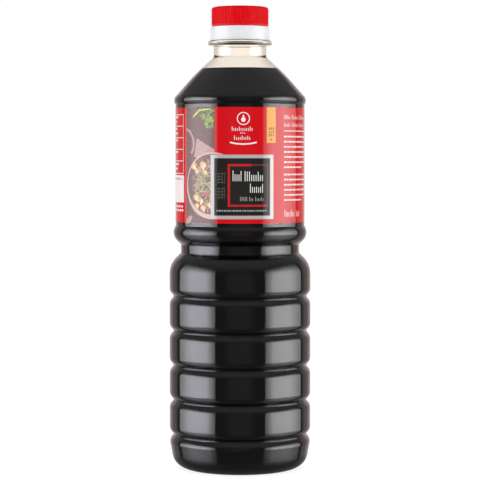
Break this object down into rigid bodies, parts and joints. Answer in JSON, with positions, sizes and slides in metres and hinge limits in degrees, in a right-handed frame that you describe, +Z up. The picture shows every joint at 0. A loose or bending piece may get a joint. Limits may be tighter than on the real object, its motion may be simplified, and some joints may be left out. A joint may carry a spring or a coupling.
{
  "type": "soy sauce bottle",
  "caption": "Clear round bottle of dark soy sauce with ring grips round the body, a narrow waist, a wrap-round label, a white collar and a knurled red screw cap.",
  "frame": {"origin": "on the bottle's axis, in the plane that its foot stands on", "axes": "+Z up along the bottle's axis, front of the label towards -Y, label's glued lap towards +Y"},
  "size_m": [0.0816, 0.0816, 0.2662],
  "materials": {
    "clear_plastic": "clear moulded plastic, faintly amber, glossy",
    "soy_sauce": "opaque dark liquid, near black with a brown cast",
    "label_paper": "red printed label film, satin gloss",
    "white_plastic": "smooth white moulded plastic",
    "red_plastic": "red moulded plastic, satin, knurled"
  },
  "bodies": {
    "root": {"bottle": "clear_plastic", "soy_sauce": "soy_sauce", "label": "label_paper", "collar": "white_plastic", "screw_cap": "red_plastic"}
  },
  "joints": []
}
